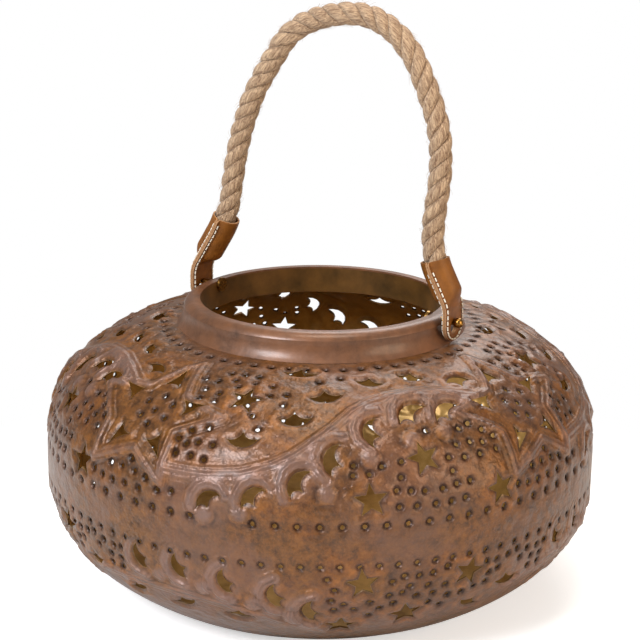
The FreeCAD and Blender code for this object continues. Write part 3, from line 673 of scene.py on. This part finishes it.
def punched_bowl(name, arcs, length, total, places, closed_floor):
    """A bowl as one sheet: windows left open, dimples and ridges raised, walls given last."""
    # On the lower bowl distances run down the wall, so an outline is drawn upside down there
    mirror = -1.0 if closed_floor else 1.0
    cuts = []
    for kind, outline, size in (("star", star_outline, star_size), ("leaf", leaf_outline, leaf_size),
                                ("boat", boat_outline, boat_size)):
        for degrees, share, spin, scale in places[kind]:
            cuts.append(lay_out(arcs, outline, size * scale, spin, degrees % quarter, share * length,
                                mirror))
    if not closed_floor:
        for arm in range(5):
            direction = math.radians(90 + 72 * arm)
            distance = large_star_share * length + arm_reach * math.sin(direction)
            degrees = math.degrees(arm_reach * math.cos(direction) / on_bowl(arcs, distance)[0].x)
            cuts.append(lay_out(arcs, arm_outline, arm_size, 72 * arm, degrees % quarter, distance))
    window_count = len(cuts)
    dots = [(degrees % quarter, share * length) for degrees, share in places["dot"]]
    for share, count, plain in places["rows"]:
        for i in range(count):
            degrees = (row_start + quarter * i / count) % quarter
            if all(abs(degrees - boss) > boss_half_width for boss in plain):
                dots.append((degrees, share * length))
    cuts += [lay_out(arcs, dot_outline, dot_size, 0.0, degrees, distance) for degrees, distance in dots]
    holes = []
    for loop in cuts:
        area = sum(p[0] * q[1] - q[0] * p[1] for p, q in zip(loop, loop[1:] + loop[:1]))
        holes.append(loop if area > 0 else loop[::-1])

    # Raised lines: the large star, the stems, and the scroll round each leaf
    star_lines, stems = ([[(degrees, share * length) for degrees, share in line]
                          for line in places[kind]] for kind in ("ridge", "stem"))
    scrolls = [lay_out(arcs, scroll_arc, leaf_size * scale, spin, degrees % quarter, share * length,
                       mirror) for degrees, share, spin, scale in places["leaf"]]
    extra = relief_points(arcs, dots, star_lines + stems + scrolls)
    points = sheet_points(arcs, total, holes, extra, 3 if closed_floor else 2)
    triangles = quarter_triangles(points, holes)
    count = len(points)

    radii = np.array([on_bowl(arcs, s)[0].x for a, s in points])
    punch = spot_distance(points, radii, dots)
    boss = spot_distance(points, radii, [(a, share * length) for a, share in places["boss"]])
    border = line_distance(points, radii, [hole + hole[:1] for hole in holes[:window_count]])
    star_line = line_distance(points, radii, star_lines)
    stem = line_distance(points, radii, stems)
    scroll = line_distance(points, radii, scrolls)
    relief = swell_of(punch, -1.5, 2.3)
    relief += swell_of(border, 0.9, 1.7, middle=3.0) + swell_of(border, -0.8, 1.6)
    relief += swell_of(star_line, 1.3, 3.0, power=4) + swell_of(star_line, -0.3, 1.2, middle=4.9)
    relief += swell_of(stem, 1.5, 4.6)
    relief += swell_of(scroll, 1.8, 3.6, power=2.4)
    # A boss is a low dome with a groove round its foot
    dome = boss_height * np.clip(1 - (boss / boss_radius) ** 2, 0, 1) ** 0.6
    relief += dome + swell_of(boss, -0.7, 1.2, middle=boss_radius + 1.0)
    quiet = np.clip(points[:, 1] / calm_equator, 0, 1)
    if not closed_floor:
        quiet *= np.clip((total - points[:, 1]) / calm_neck, 0, 1)
    relief *= quiet

    vertices = []
    for q in range(4):
        for i, (a, s) in enumerate(points):
            point, tangent = on_bowl(arcs, s)
            angle = math.radians(first_star_angle + a + q * quarter)
            normal = Vector((tangent.y, -tangent.x)) * mirror
            dent = dent_depth * math.sin(3 * angle + s / 17.0) * math.sin(5 * angle - s / 23.0) * quiet[i]
            spot = point + normal * (relief[i] + dent)
            radius = min(spot.x, body_radius)
            vertices.append((radius * math.cos(angle) / 1000, radius * math.sin(angle) / 1000, spot.y / 1000))
    faces = [[i + count * ((q + shift) % 4) for i, shift in triangle]
             for q in range(4) for triangle in triangles]
    if closed_floor:
        low = floor_height / 1000
        rim = sorted((math.radians(first_star_angle + points[i][0] + q * quarter), i + count * q)
                     for q in range(4) for i in range(count) if points[i][1] == total)
        outer = [v for angle, v in rim]
        for ring in floor_rings:
            radius = ring / 1000
            inner = list(range(len(vertices), len(vertices) + len(rim)))
            vertices += [(radius * math.cos(angle), radius * math.sin(angle), low) for angle, v in rim]
            for i in range(len(rim)):
                k = (i + 1) % len(rim)
                faces.append([outer[i], outer[k], inner[k], inner[i]])
            outer = inner
        vertices.append((0.0, 0.0, low))
        for i in range(len(rim)):
            faces.append([outer[i], outer[(i + 1) % len(rim)], len(vertices) - 1])
    mesh = bpy.data.meshes.new(name)
    mesh.from_pydata(vertices, [], faces)
    # The tin's material reads these; on the floor, which has no relief, they say far away
    floor_points = len(vertices) - 4 * count
    near_line = np.minimum(np.minimum(stem, scroll), star_line)
    for label, values, far in (("relief", relief, 0.0), ("punch", punch, 50.0), ("stem", near_line, 50.0),
                               ("border", border, 50.0)):
        attribute = mesh.attributes.new(label, "FLOAT", "POINT")
        attribute.data.foreach_set("value", np.r_[np.tile(values, 4), np.full(floor_points, far)])
    bowl = thick_sheet(mesh, (rust_tin, gold_lacquer), wall, -1.0, 1, 0,
                       probe=lambda f: f.calc_center_median().xy.length,
                       outward=lambda f: f.calc_center_median().xy.to_3d())
    bpy.ops.object.shade_smooth_by_angle(angle=math.radians(48))
    return bowl


# Rusted and lacquered tin: satin brown, orange rust in patches, with painted shade darkening the dimples,
# a painted sheen making the ridges paler and greyer, painted glints on the windows' edges, and a fine pitted
# grain under the lacquer
rust_tin, tree, shader = new_material("lacquered rusted tinplate")
place = add_node(tree, "TexCoord").outputs["Object"]
cloud = add_node(tree, "TexNoise", {"Vector": place, "Scale": 1 / 0.032, "Detail": 6.0, "Roughness": 0.68})
speck = add_node(tree, "TexNoise", {"Vector": place, "Scale": 1 / 0.0062, "Detail": 6.0,
                                    "Roughness": 0.72}).outputs["Fac"]
brown = add_node(tree, "ValToRGB", {"Fac": speck}, [(0.34, "412508"), (0.66, "80501D")])
orange = add_node(tree, "ValToRGB", {"Fac": speck}, [(0.34, "582C08"), (0.64, "965919")])
patches = add_node(tree, "MapRange", {"Value": cloud.outputs["Fac"], "From Min": 0.44,
                                      "From Max": 0.68, "To Max": 0.65}, **smooth)
rusty = add_node(tree, "Mix", {0: patches.outputs[0], 6: brown.outputs[0], 7: orange.outputs[0]},
                 **colours)
grain = add_node(tree, "TexNoise", {"Vector": place, "Scale": 1 / 0.0016, "Detail": 3.0}).outputs["Fac"]
fleck = add_node(tree, "MapRange", {"Value": grain, "From Min": 0.50, "From Max": 0.70,
                                    "To Max": 0.28}, **smooth)
flecked = add_node(tree, "Mix", {0: fleck.outputs[0], 6: rusty.outputs[2], 7: linear("96602A")},
                   **colours)
# The lacquer has a greyer bloom in broad patches
veil = add_node(tree, "TexNoise", {"Vector": place, "Scale": 1 / 0.07, "Detail": 4.0, "Roughness": 0.6})
bloom = add_node(tree, "MapRange", {"Value": veil.outputs["Fac"], "From Min": 0.46, "From Max": 0.62,
                                    "To Max": 0.55}, **smooth)
bloomed = add_node(tree, "Mix", {0: bloom.outputs[0], 6: flecked.outputs[2], 7: linear("71503F")},
                   **colours)
# Painted shade: darker in the dimples, round the windows and along the ridges' feet, where shade falls in the
# hollows
punched = add_node(tree, "Attribute", attribute_name="punch").outputs["Fac"]
painted_dimple_shade = add_node(tree, "MapRange", {"Value": punched, "From Min": 1.3, "From Max": 2.8,
                                  "To Min": 0.85, "To Max": 0.0}, **smooth)
height = add_node(tree, "Attribute", attribute_name="relief").outputs["Fac"]
painted_hollow_shade = add_node(tree, "MapRange", {"Value": height, "From Min": -0.7, "From Max": 0.3, "To Min": 0.7,
                                   "To Max": 0.0})
deepest_painted_shade = add_node(tree, "Math", {0: painted_dimple_shade.outputs[0], 1: painted_hollow_shade.outputs[0]}, operation="MAXIMUM")
# The painted shade is multiplied in, darkening the hollows towards 624332
shaded_hollows = add_node(tree, "Mix", {0: deepest_painted_shade.outputs[0], 6: bloomed.outputs[2], 7: linear("624332")},
                blend_type="MULTIPLY", **colours)
# Painted sheen: the raised ridges are paler and greyer, as where they catch the light
painted_ridge_sheen = add_node(tree, "MapRange", {"Value": height, "From Min": 0.6, "From Max": 1.8, "To Min": 0.0,
                                     "To Max": 0.42})
sheen_on_ridges = add_node(tree, "Mix", {0: painted_ridge_sheen.outputs[0], 6: shaded_hollows.outputs[2], 7: linear("7C645E")},
                  **colours)
# The cut faces of the windows are bare tin gone yellow; the lightening round each window's edge is also a
# painted glint
outline = add_node(tree, "Attribute", attribute_name="border")
painted_edge_glint = add_node(tree, "MapRange", {"Value": outline.outputs["Fac"], "From Min": 0.02, "From Max": 0.35,
                                   "To Min": 0.4, "To Max": 0.0})
glint_edged = add_node(tree, "Mix", {0: painted_edge_glint.outputs[0], 6: sheen_on_ridges.outputs[2], 7: linear("A8824A")},
                 **colours)
gloss = add_node(tree, "MapRange", {"Value": speck, "To Min": 0.22, "To Max": 0.6})
# Uneven from the hammer and from handling, and pitted finely under the lacquer
blows = add_node(tree, "TexNoise", {"Vector": place, "Scale": 1 / 0.010, "Detail": 3.0})
hammered = add_node(tree, "Bump", {"Height": blows.outputs["Fac"], "Strength": 0.8, "Distance": 0.0035})
pitted = add_node(tree, "Bump", {"Height": grain, "Strength": 0.5, "Distance": 0.0005,
                                 "Normal": hammered.outputs[0]})
# Chased lines three and a half millimetres apart run beside each stem and scroll
along_stem = add_node(tree, "Attribute", attribute_name="stem").outputs["Fac"]
phase = add_node(tree, "Math", {0: along_stem, 1: 1.75}, operation="MULTIPLY")
wave = add_node(tree, "Math", {0: phase.outputs[0]}, operation="COSINE")
fade = add_node(tree, "MapRange", {"Value": along_stem, "From Min": 3.0, "From Max": 8.0,
                                   "To Min": 0.7, "To Max": 0.0}, **smooth)
lines = add_node(tree, "Math", {0: wave.outputs[0], 1: fade.outputs[0]}, operation="MULTIPLY")
crater = add_node(tree, "MapRange", {"Value": punched, "From Min": 1.2, "From Max": 3.2}, **smooth)
shape = add_node(tree, "Math", {0: crater.outputs[0], 1: 2.4, 2: lines.outputs[0]},
                 operation="MULTIPLY_ADD")
chased = add_node(tree, "Bump", {"Height": shape.outputs[0], "Strength": 0.9, "Distance": 0.0005,
                                 "Normal": pitted.outputs[0]})
feed(tree, shader, {"Base Color": glint_edged.outputs[2], "Roughness": gloss.outputs[0], "Metallic": 0.28,
                    "Coat Weight": 0.22, "Coat Roughness": 0.28, "Normal": chased.outputs[0]})

# Inside face: a thin gold lacquer over the tin, dull and uneven
gold_lacquer, tree, shader = new_material("gold lacquered tinplate")
place = add_node(tree, "TexCoord").outputs["Object"]
cloud = add_node(tree, "TexNoise", {"Vector": place, "Scale": 1 / 0.02, "Detail": 5.0,
                                    "Roughness": 0.65}).outputs["Fac"]
gold = add_node(tree, "ValToRGB", {"Fac": cloud}, [(0.3, "9C7430"), (0.7, "DBB068")])
# Painted shade: darker towards the top, under the shoulder, where the inner wall faces down
layers = add_node(tree, "SeparateXYZ", {0: place})
painted_shoulder_shade = add_node(tree, "MapRange", {"Value": layers.outputs["Z"], "From Min": 0.10, "From Max": 0.145,
                                    "To Max": 0.9}, **smooth)
shaded_under_shoulder = add_node(tree, "Mix", {0: painted_shoulder_shade.outputs[0], 6: gold.outputs[0], 7: linear("7A5622")},
                  **colours)
crease = add_node(tree, "Bump", {"Height": cloud, "Strength": 0.12, "Distance": 0.001})
feed(tree, shader, {"Base Color": shaded_under_shoulder.outputs[2], "Metallic": 0.35, "Roughness": 0.42,
                    "Normal": crease.outputs[0]})

shoulder_run = upper_length + (shoulder_radius - neck_hole_radius) / abs(upper_arcs[-1][1].x)
upper_bowl = punched_bowl("upper_bowl", upper_arcs, upper_length, shoulder_run, upper_places, False)
lower_bowl = punched_bowl("lower_bowl", lower_arcs, lower_length, lower_length, lower_places, True)
for bowl, node in ((upper_bowl, "upper_shell"), (lower_bowl, "lower_shell")):
    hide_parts(node)
    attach(bowl, "lantern")


# Foot ring, flared collar and inner sleeve: the same rusted tin, unpunched and plainer in
# colour. More handled than the bowls, the collar is smoother, under a glossier lacquer.
neck_tin, tree, shader = new_material("lacquered rusted tinplate, plain")
place = add_node(tree, "TexCoord").outputs["Object"]
cloud = add_node(tree, "TexNoise", {"Vector": place, "Scale": 1 / 0.03, "Detail": 5.0,
                                    "Roughness": 0.6}).outputs["Fac"]
speck = add_node(tree, "TexNoise", {"Vector": place, "Scale": 1 / 0.006, "Detail": 6.0, "Roughness": 0.72})
plain = add_node(tree, "ValToRGB", {"Fac": speck.outputs["Fac"]}, [(0.3, "452B19"), (0.7, "6E4A33")])
greyed = add_node(tree, "MapRange", {"Value": cloud, "From Min": 0.35, "From Max": 0.7, "To Max": 0.7})
mixed = add_node(tree, "Mix", {0: greyed.outputs[0], 6: plain.outputs[0], 7: linear("85522A")},
                 **colours)
worn = add_node(tree, "Bump", {"Height": cloud, "Strength": 0.5, "Distance": 0.0022})
feed(tree, shader, {"Base Color": mixed.outputs[2], "Metallic": 0.25, "Roughness": 0.5,
                    "Coat Weight": 0.35, "Coat Roughness": 0.22, "Normal": worn.outputs[0]})


def dress(node, material):
    """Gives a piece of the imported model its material."""
    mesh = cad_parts[node].data
    mesh.materials.clear()
    mesh.materials.append(material)


dress("neck_collar", neck_tin)
dress("foot_ring", neck_tin)

# Inside the neck the lacquer has browned where hands reach in
browned, tree, shader = new_material("browned gold lacquer")
place = add_node(tree, "TexCoord").outputs["Object"]
stain = add_node(tree, "TexNoise", {"Vector": place, "Scale": 1 / 0.018, "Detail": 5.0, "Roughness": 0.6})
stained = add_node(tree, "ValToRGB", {"Fac": stain.outputs["Fac"]}, [(0.3, "463011"), (0.7, "755023")])
feed(tree, shader, {"Base Color": stained.outputs[0], "Metallic": 0.3, "Roughness": 0.4})
dress("neck_sleeve", browned)


# Ball studs, turned from brass, that the handle's tabs are hooked over, and the screws that
# hold them from inside the neck. The brass is tarnished in small spots and glints between.
brass, tree, shader = new_material("tarnished brass")
place = add_node(tree, "TexCoord").outputs["Object"]
stain = add_node(tree, "TexNoise", {"Vector": place, "Scale": 1 / 0.0015, "Detail": 3.0})
metal = add_node(tree, "ValToRGB", {"Fac": stain.outputs["Fac"]}, [(0.35, "6B4A22"), (0.65, "B98A45")])
feed(tree, shader, {"Base Color": metal.outputs[0], "Metallic": 1.0, "Roughness": 0.32})
for side in ("right", "left"):
    dress(side + "_ball_stud", brass)
    dress(side + "_stud_screw", brass)


# Leather tabs: two layers of vegetable-tanned leather each, a millimetre and a quarter
# thick, cut with raw edges, closed over the rope's end and hung on the stud by a round hole.
# Sizes are in millimetres.
leather_wall = 1.25
layer_gap = 0.01
half_width = 11.4
stud_height = 175.6
tab_tail = 11.2
tab_stand = 91.9
rope_clearance = 0.65
pocket = rope_diameter * 1000 / 2 + rope_clearance
hole_radius = 4.5
stud_neck_radius, hole_play = 1.8, 0.3
hole_drop = hole_radius - (stud_neck_radius + hole_play)
corner_cut, corner_inset = 2.0, 0.6
edge_wear = 0.18
tab_spacing = 1.2
tab_columns = 20
tab_jitter = 0.1
tab_edge_gap = 0.55
# How far before the rope's end the layer has risen over it, and by what share of its height
swell_rise = ((12.0, 0.0), (9.0, 0.08), (6.0, 0.40), (3.0, 0.80), (0.4, 1.0))
# The foot of the full section, beside and above the rope as shares of the pocket's radius
foot_shares = ((1.06, 0.11), (1.13, 0.03), (1.2, 0.0))

# Vegetable-tanned leather: warm brown, mottled over about a centimetre, with a soft sheen
leather, tree, shader = new_material("vegetable-tanned leather")
place = add_node(tree, "TexCoord").outputs["Object"]
tan = add_node(tree, "TexNoise", {"Vector": place, "Scale": 1 / 0.009, "Detail": 4.0, "Roughness": 0.6})
colour = add_node(tree, "ValToRGB", {"Fac": tan.outputs["Fac"]}, [(0.3, "633910"), (0.7, "855018")])
# Pores six tenths of a millimetre apart
pores = add_node(tree, "TexVoronoi", {"Vector": place, "Scale": 1 / 0.0006})
grainy = add_node(tree, "Bump", {"Height": pores.outputs["Distance"], "Strength": 0.25,
                                 "Distance": 0.0002})
feed(tree, shader, {"Base Color": colour.outputs[0], "Roughness": 0.5, "Specular IOR Level": 0.3,
                    "Normal": grainy.outputs[0]})

# The cut edges were left raw and are paler than the faces
cut_leather, tree, shader = new_material("raw cut edge of leather")
place = add_node(tree, "TexCoord").outputs["Object"]
strand = add_node(tree, "TexNoise", {"Vector": place, "Scale": 1 / 0.0008})
pale_edge = add_node(tree, "ValToRGB", {"Fac": strand.outputs["Fac"]}, [(0.0, "7A5030"), (1.0, "B88C60")])
feed(tree, shader, {"Base Color": pale_edge.outputs[0], "Roughness": 0.85})


straight_enough = 0.001
blend_share = 0.45


def rounded_line(corners):
    """Straight runs, joined by a short curve of thirteen points at each corner."""
    points = [Vector(corners[0])]
    for before, corner, after in zip(corners[:-2], corners[1:-1], corners[2:]):
        before, corner, after = Vector(before), Vector(corner), Vector(after)
        run_in, run_out = (corner - before).normalized(), (after - corner).normalized()
        turn = run_in.angle(run_out)
        if turn < straight_enough:
            points.append(corner)
            continue
        back = blend_share * min((corner - before).length, (after - corner).length)
        for step in range(13):
            t = step / 12
            a, b = corner - run_in * back * (1 - t), corner + run_out * back * t
            points.append(a.lerp(b, t))
    points.append(Vector(corners[-1]))
    return points


def tab_layer(name, side, length, face):
    """One layer: flat at the stud, swelling over the rope, on the outer or the inner face."""
    route = [(x * 1000, z * 1000) for x, z in (rope_route if side < 0 else rope_route[::-1])][:4]
    run = Vector(route[0]) - Vector(route[1])
    bend = Vector(route[0]) + run * ((side * tab_stand - route[0][0]) / run.x)
    corners = [(side * tab_stand, stud_height - tab_tail), tuple(bend)] + route
    line = rounded_line(corners)
    marks = [0.0]
    for a, b in zip(line[:-1], line[1:]):
        marks.append(marks[-1] + (b - a).length)
    xs, zs = [p.x for p in line], [p.y for p in line]
    near_end = 0.3
    rope_end = next(m for p, m in zip(line, marks) if (p - Vector(route[0])).length < near_end)
    swell_at = [0.0] + [rope_end - run_up for run_up, share in swell_rise]
    swell = [0.0] + [share for run_up, share in swell_rise]
    # Half of the full section: round over the rope, then flared out flat to the edge
    section = [(pocket * math.sin(math.radians(t)), pocket * math.cos(math.radians(t)))
               for t in (0, 15, 30, 45, 60, 72)]
    section += [(pocket * beside, pocket * above) for beside, above in foot_shares]
    section.append((half_width, 0.0))
    full_y, full_h = zip(*section)
    sweep = [0.0]
    for (y1, h1), (y2, h2) in zip(section[:-1], section[1:]):
        sweep.append(sweep[-1] + math.hypot(y2 - y1, h2 - h1))
    sweep = [s / sweep[-1] for s in sweep]
    # The flat outline, from the round tail up the right edge, across and down the left one
    outline = []
    for i in range(25):
        turn = math.pi * i / 24
        outline.append((-half_width * math.cos(turn), max(tab_tail - half_width * math.sin(turn), 0.0)))
    climb = int((length - tab_tail) / tab_spacing)
    right_edge = [(half_width, tab_tail + (length - corner_cut - tab_tail) * i / climb)
                  for i in range(1, climb + 1)]
    outline += right_edge
    outline.append((half_width - corner_inset, length - corner_inset))
    top_step = (half_width - corner_cut) / 5
    outline += [(half_width - corner_cut - top_step * i, length) for i in range(11)]
    outline.append((-half_width + corner_inset, length - corner_inset))
    outline += [(-y, d) for y, d in right_edge[::-1]]
    hole_height = tab_tail - hole_drop
    hole = [(hole_radius * math.cos(math.pi * i / 12), hole_height + hole_radius * math.sin(math.pi * i / 12))
            for i in range(24)]
    flat = [Vector(p) for p in outline + hole]
    hard = np.array([tuple(p) for p in flat])
    random.seed(5)
    for row in range(int(length / tab_spacing)):
        for column in range(tab_columns):
            place = (column + 0.5 + 0.25 * (row % 2)) * (2 * half_width / tab_columns)
            y = -half_width + place + random.uniform(-tab_jitter, tab_jitter)
            d = tab_spacing * row + tab_spacing / 2 + random.uniform(-tab_jitter, tab_jitter)
            if np.hypot(hard[:, 0] - y, hard[:, 1] - d).min() > tab_edge_gap:
                flat.append(Vector((y, d)))
    loops = [list(range(len(outline))), list(range(len(outline), len(outline) + len(hole)))]
    result = delaunay_2d_cdt(flat, [], loops, 0, 1e-6)
    faces = [list(t) for t, source in zip(result[2], result[5]) if list(source) == [0]]
    vertices = []
    half_step = 0.4
    for y, d in result[0]:
        x, z = np.interp(d, marks, xs), np.interp(d, marks, zs)
        ahead = min(d + half_step, marks[-1])
        behind = ahead - 2 * half_step
        tangent = Vector((np.interp(ahead, marks, xs) - np.interp(behind, marks, xs),
                          np.interp(ahead, marks, zs) - np.interp(behind, marks, zs))).normalized()
        outward = Vector((tangent.y, -tangent.x)) * side * face
        b = np.interp(d, swell_at, swell)
        w = min(abs(y) / half_width, 1.0)
        wide = (1 - b) * w * half_width + b * np.interp(w, sweep, full_y)
        rise = b * np.interp(w, sweep, full_h) + layer_gap
        vertices.append(((x + outward.x * rise) / 1000, math.copysign(wide, y) / 1000,
                         (z + outward.y * rise) / 1000))
    mesh = bpy.data.meshes.new(name)
    mesh.from_pydata(vertices, [], faces)
    layer = thick_sheet(mesh, (leather, cut_leather), leather_wall - 2 * layer_gap, 1.0, 0, 1,
                        probe=lambda f: -f.calc_center_median().z,
                        outward=lambda f: Vector((side * face, 0.0, 0.0)))
    bevel = layer.modifiers.new("cut_edge", "BEVEL")
    bevel.width = edge_wear / 1000
    bevel.segments = 2
    bevel.limit_method = "ANGLE"
    bevel.angle_limit = math.radians(55)
    bpy.ops.object.modifier_apply(modifier="cut_edge")
    bpy.ops.object.shade_smooth_by_angle(angle=math.radians(40))
    return layer


for side, sign, length in (("right", 1, 51.5), ("left", -1, 62.0)):
    for layer_name, face in (("outer", 1), ("inner", -1)):
        layer = tab_layer(side + "_" + layer_name + "_strap", sign, length, face)
        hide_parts(side + "_tab_" + layer_name)
        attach(layer, "handle")


# Stitching: waxed cream linen thread, sewn through both layers a little inside their edges. A
# stitch starts every 3.4 mm on each face. The thread is dull, with a faint streak of its plies.
thread, tree, shader = new_material("waxed linen thread")
place = add_node(tree, "TexCoord").outputs["Object"]
ply = add_node(tree, "TexNoise", {"Vector": place, "Scale": 1 / 0.0005})
pale = add_node(tree, "ValToRGB", {"Fac": ply.outputs["Fac"]}, [(0.0, "C9BEA8"), (1.0, "F4EEE0")])
feed(tree, shader, {"Base Color": pale.outputs[0], "Roughness": 0.7})
dress("right_tab_stitching", thread)
dress("left_tab_stitching", thread)
